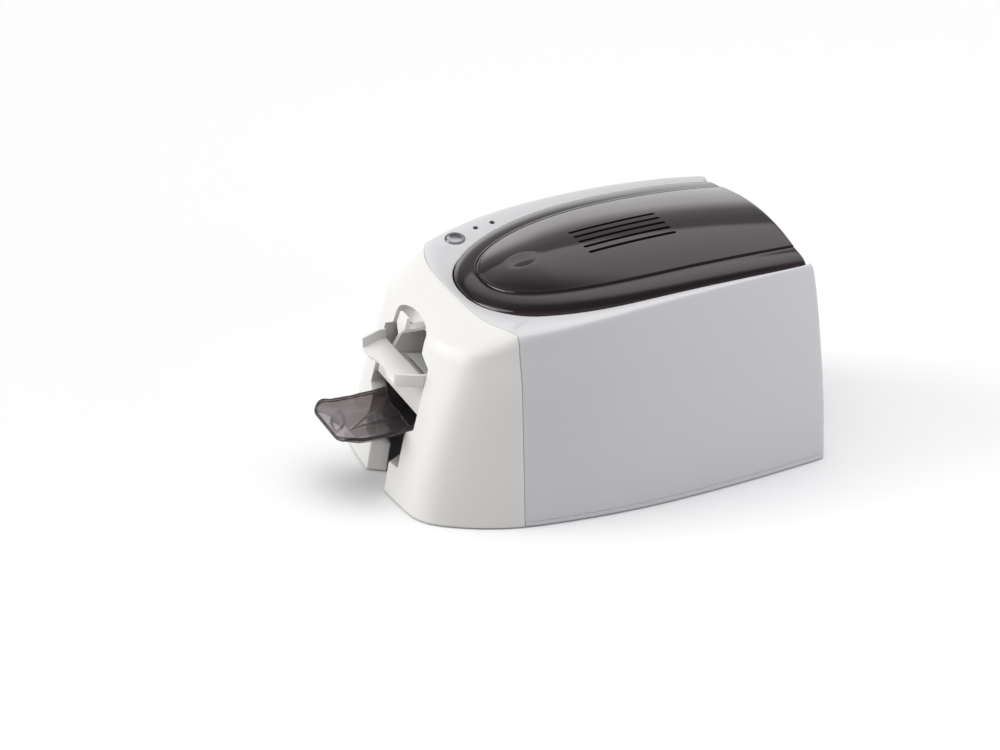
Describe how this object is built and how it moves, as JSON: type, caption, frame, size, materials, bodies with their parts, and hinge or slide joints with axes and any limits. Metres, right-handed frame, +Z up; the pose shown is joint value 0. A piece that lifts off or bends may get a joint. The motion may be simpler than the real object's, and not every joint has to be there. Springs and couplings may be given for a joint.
{
  "type": "id card printer",
  "caption": "Desktop identity card printer with a smoked domed lid over the ribbon bay, a front card feeder and an output tray, with its roller train and print head inside.",
  "frame": {"origin": "middle of the footprint on the desk, output tray included", "axes": "+Z up, +Y towards the rear wall, so the feeder and the tray face -Y"},
  "size_m": [0.197, 0.305, 0.144],
  "materials": {
    "front_white": "fine satin moulding",
    "body_grey": "fine textured moulding",
    "smoked_plastic": "polished, lets light through",
    "dark_plastic": "textured",
    "silver_plastic": "silver paint",
    "steel": "ground",
    "aluminium": "extruded",
    "rubber_dark": "ground rubber",
    "tacky_blue": "tacky, smooth",
    "gear_plastic": "moulded acetal",
    "ribbon": "coated film",
    "brass": "cut",
    "ceramic": "glazed edge on a ceramic block",
    "circuit_board": "solder mask"
  },
  "bodies": {
    "housing": {"front_shell": "front_white", "body_shell": "body_grey", "base_pan": "body_grey", "rubber_feet": "rubber_dark", "case_screws": "steel", "inner_deck": "dark_plastic", "port_panel": "dark_plastic", "hinge_pins": "steel", "control_board": "circuit_board", "light_pipes": "dark_plastic", "feeder_tray": "front_white", "feeder_hood": "front_white", "press_pin": "steel", "output_tray": "smoked_plastic", "side_frame_left": "dark_plastic", "side_frame_right": "dark_plastic", "cross_bars": "steel", "gear_plate": "steel", "idler_pins": "steel", "upper_card_guide": "dark_plastic", "rear_card_guide": "dark_plastic", "lower_card_guide": "dark_plastic", "exit_guide": "dark_plastic", "roller_bushes": "gear_plastic", "feed_motor": "steel", "ribbon_motor": "steel", "ribbon_film": "ribbon", "head_rod": "steel", "main_board": "circuit_board", "usb_socket": "steel", "power_socket": "dark_plastic"},
    "lid": {"lid": "smoked_plastic"},
    "button": {"power_button": "silver_plastic"},
    "lever": {"gauge_lever": "front_white"},
    "press": {"card_press": "body_grey"},
    "diverter": {"card_diverter": "body_grey"},
    "head": {"head_bracket": "aluminium", "print_head": "ceramic"},
    "pick": {"pick_roller": "rubber_dark", "pick_shaft": "gear_plastic"},
    "entry": {"entry_roller": "rubber_dark", "entry_shaft": "gear_plastic"},
    "platen": {"platen_roller": "rubber_dark", "platen_shaft": "steel", "platen_gear": "gear_plastic"},
    "rear_drive": {"rear_roller": "rubber_dark", "rear_shaft": "gear_plastic"},
    "cleaner": {"cleaning_roller": "tacky_blue"},
    "pinch": {"pinch_roller": "rubber_dark"},
    "idler_a": {"idler_gear_a": "gear_plastic"},
    "idler_b": {"idler_gear_b": "gear_plastic"},
    "idler_c": {"idler_gear_c": "gear_plastic"},
    "feed_pinion": {"motor_pinion": "brass"},
    "ribbon_drive": {"ribbon_pinion": "brass"},
    "supply": {"supply_spool": "gear_plastic", "supply_roll": "ribbon"},
    "take_up": {"take_up_spool": "gear_plastic", "take_up_roll": "ribbon"}
  },
  "joints": [
    {"name": "lid_hinge", "type": "hinge", "parent": "housing", "child": "lid", "pos_m": [0, 0.1365, 0.13107], "axis": [-1, 0, 0], "range_deg": [0, 75]},
    {"name": "button_press", "type": "slide", "parent": "housing", "child": "button", "axis": [0, 0, -1], "range_m": [0, 0.001], "stiffness_N_per_m": 600, "springref_m": -0.0005},
    {"name": "lever_slide", "type": "slide", "parent": "housing", "child": "lever", "axis": [0, 0, -1], "range_m": [0, 0.004]},
    {"name": "press_swing", "type": "hinge", "parent": "housing", "child": "press", "pos_m": [0, -0.033, 0.0839], "axis": [-1, 0, 0], "range_deg": [0, 12]},
    {"name": "diverter_swing", "type": "hinge", "parent": "housing", "child": "diverter", "pos_m": [0, -0.023, 0.055], "axis": [1, 0, 0], "range_deg": [0, 10], "stiffness_Nm_per_rad": 0.004, "springref_deg": -17.19},
    {"name": "head_swing", "type": "hinge", "parent": "housing", "child": "head", "pos_m": [0, 0.05, 0.1], "axis": [-1, 0, 0], "range_deg": [0, 8]},
    {"name": "platen_spin", "type": "hinge", "parent": "housing", "child": "platen", "pos_m": [0, 0.026, 0.053], "axis": [1, 0, 0], "continuous": true},
    {"name": "pick_spin", "type": "hinge", "parent": "housing", "child": "pick", "pos_m": [0, -0.05365, 0.05829], "axis": [1, 0, 0], "continuous": true},
    {"name": "entry_spin", "type": "hinge", "parent": "housing", "child": "entry", "pos_m": [0, -0.014, 0.053], "axis": [1, 0, 0], "continuous": true},
    {"name": "rear_spin", "type": "hinge", "parent": "housing", "child": "rear_drive", "pos_m": [0, 0.066, 0.053], "axis": [1, 0, 0], "continuous": true},
    {"name": "idler_a_spin", "type": "hinge", "parent": "housing", "child": "idler_a", "pos_m": [0, -0.03382, 0.05565], "axis": [1, 0, 0], "continuous": true},
    {"name": "idler_b_spin", "type": "hinge", "parent": "housing", "child": "idler_b", "pos_m": [0, 0.006, 0.053], "axis": [1, 0, 0], "continuous": true},
    {"name": "idler_c_spin", "type": "hinge", "parent": "housing", "child": "idler_c", "pos_m": [0, 0.046, 0.053], "axis": [1, 0, 0], "continuous": true},
    {"name": "feed_pinion_spin", "type": "hinge", "parent": "housing", "child": "feed_pinion", "pos_m": [0, 0.006, 0.037], "axis": [1, 0, 0], "continuous": true},
    {"name": "cleaner_spin", "type": "hinge", "parent": "housing", "child": "cleaner", "pos_m": [0, -0.014, 0.06636], "axis": [1, 0, 0], "continuous": true},
    {"name": "pinch_spin", "type": "hinge", "parent": "housing", "child": "pinch", "pos_m": [0, 0.066, 0.06536], "axis": [1, 0, 0], "continuous": true},
    {"name": "supply_spin", "type": "hinge", "parent": "housing", "child": "supply", "pos_m": [0, 0.082, 0.092], "axis": [1, 0, 0], "continuous": true},
    {"name": "take_up_spin", "type": "hinge", "parent": "housing", "child": "take_up", "pos_m": [0, -0.014, 0.092], "axis": [1, 0, 0], "continuous": true},
    {"name": "ribbon_pinion_spin", "type": "hinge", "parent": "housing", "child": "ribbon_drive", "pos_m": [0, -0.03394, 0.0827], "axis": [1, 0, 0], "continuous": true}
  ],
  "couplings": [
    {"joint": "idler_b_spin", "follows": "platen_spin", "ratio": -1},
    {"joint": "entry_spin", "follows": "platen_spin", "ratio": 1},
    {"joint": "idler_a_spin", "follows": "platen_spin", "ratio": -1},
    {"joint": "pick_spin", "follows": "platen_spin", "ratio": 1},
    {"joint": "idler_c_spin", "follows": "platen_spin", "ratio": -1},
    {"joint": "rear_spin", "follows": "platen_spin", "ratio": 1},
    {"joint": "feed_pinion_spin", "follows": "platen_spin", "ratio": 1.6667},
    {"joint": "ribbon_pinion_spin", "follows": "take_up_spin", "ratio": -2.6667}
  ]
}
